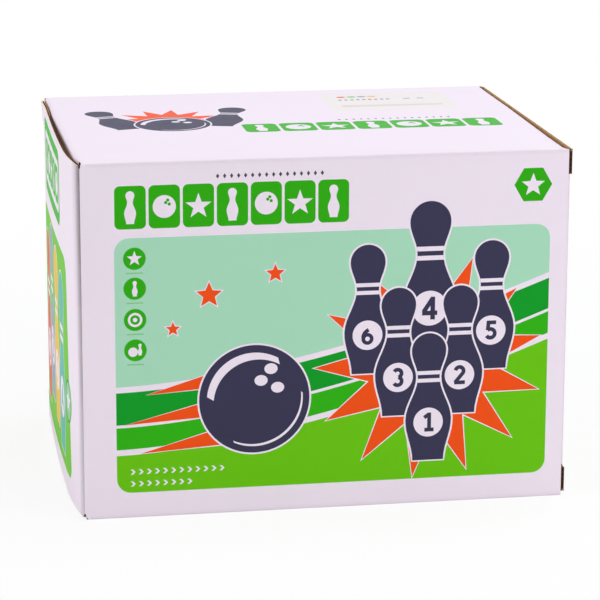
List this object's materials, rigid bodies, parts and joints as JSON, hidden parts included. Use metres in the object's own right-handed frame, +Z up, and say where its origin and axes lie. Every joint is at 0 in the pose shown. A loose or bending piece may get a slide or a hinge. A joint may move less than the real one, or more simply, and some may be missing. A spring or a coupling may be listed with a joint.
{
  "type": "boxed bowling set",
  "caption": "Closed printed carton with reverse tuck ends, slit locks and folded dust flaps, holding a toy bowling set of plain foam pins and balls.",
  "frame": {"origin": "middle of the closed carton's outline, on the surface it stands on", "axes": "+X along the sleeve towards the closure that is creased on the back wall, -Y out of the front wall, +Z up"},
  "size_m": [0.3326, 0.253, 0.24],
  "materials": {
    "printed_board": "satin",
    "pin_yellow": "matte",
    "pin_blue": "matte",
    "pin_red": "matte",
    "pin_green": "matte",
    "pin_orange": "matte",
    "pin_grey": "matte",
    "ball_navy": "satin",
    "ball_orange": "satin"
  },
  "bodies": {
    "sleeve": {"front_panel": "printed_board", "top_panel": "printed_board", "back_panel": "printed_board", "bottom_panel": "printed_board", "glue_flap": "printed_board", "pin_1": "pin_yellow", "pin_2": "pin_blue", "pin_3": "pin_red", "pin_4": "pin_green", "pin_5": "pin_orange", "pin_6": "pin_grey", "ball_1": "ball_navy", "ball_2": "ball_orange"},
    "left_closure": {"left_closure": "printed_board"},
    "left_tuck_flap": {"left_tuck_flap": "printed_board"},
    "left_top_dust_flap": {"left_top_dust_flap": "printed_board"},
    "left_bottom_dust_flap": {"left_bottom_dust_flap": "printed_board"},
    "right_closure": {"right_closure": "printed_board"},
    "right_tuck_flap": {"right_tuck_flap": "printed_board"},
    "right_top_dust_flap": {"right_top_dust_flap": "printed_board"},
    "right_bottom_dust_flap": {"right_bottom_dust_flap": "printed_board"}
  },
  "joints": [
    {"name": "left_closure_fold", "type": "hinge", "parent": "sleeve", "child": "left_closure", "pos_m": [-0.16031, -0.12581, 0.1215], "axis": [0, 0, 1], "range_deg": [0, 120]},
    {"name": "left_tuck_fold", "type": "hinge", "parent": "left_closure", "child": "left_tuck_flap", "pos_m": [-0.16146, 0.12206, 0.1215], "axis": [0, 0, 1], "range_deg": [0, 24]},
    {"name": "left_top_dust_fold", "type": "hinge", "parent": "sleeve", "child": "left_top_dust_flap", "pos_m": [-0.15911, 0, 0.23931], "axis": [0, 1, 0], "range_deg": [0, 90]},
    {"name": "left_bottom_dust_fold", "type": "hinge", "parent": "sleeve", "child": "left_bottom_dust_flap", "pos_m": [-0.15911, 0, 0.00069], "axis": [0, -1, 0], "range_deg": [0, 90]},
    {"name": "right_closure_fold", "type": "hinge", "parent": "sleeve", "child": "right_closure", "pos_m": [0.16561, 0.12581, 0.1215], "axis": [0, 0, 1], "range_deg": [0, 120]},
    {"name": "right_tuck_fold", "type": "hinge", "parent": "right_closure", "child": "right_tuck_flap", "pos_m": [0.16556, -0.12206, 0.1215], "axis": [0, 0, 1], "range_deg": [0, 24]},
    {"name": "right_top_dust_fold", "type": "hinge", "parent": "sleeve", "child": "right_top_dust_flap", "pos_m": [0.16341, 0, 0.23931], "axis": [0, -1, 0], "range_deg": [0, 90]},
    {"name": "right_bottom_dust_fold", "type": "hinge", "parent": "sleeve", "child": "right_bottom_dust_flap", "pos_m": [0.16341, 0, 0.00069], "axis": [0, 1, 0], "range_deg": [0, 90]}
  ],
  "couplings": [
    {"joint": "left_tuck_fold", "follows": "left_closure_fold", "ratio": 0.2},
    {"joint": "left_top_dust_fold", "follows": "left_closure_fold", "ratio": 0.75},
    {"joint": "left_bottom_dust_fold", "follows": "left_closure_fold", "ratio": 0.75},
    {"joint": "right_tuck_fold", "follows": "right_closure_fold", "ratio": 0.2},
    {"joint": "right_top_dust_fold", "follows": "right_closure_fold", "ratio": 0.75},
    {"joint": "right_bottom_dust_fold", "follows": "right_closure_fold", "ratio": 0.75}
  ]
}
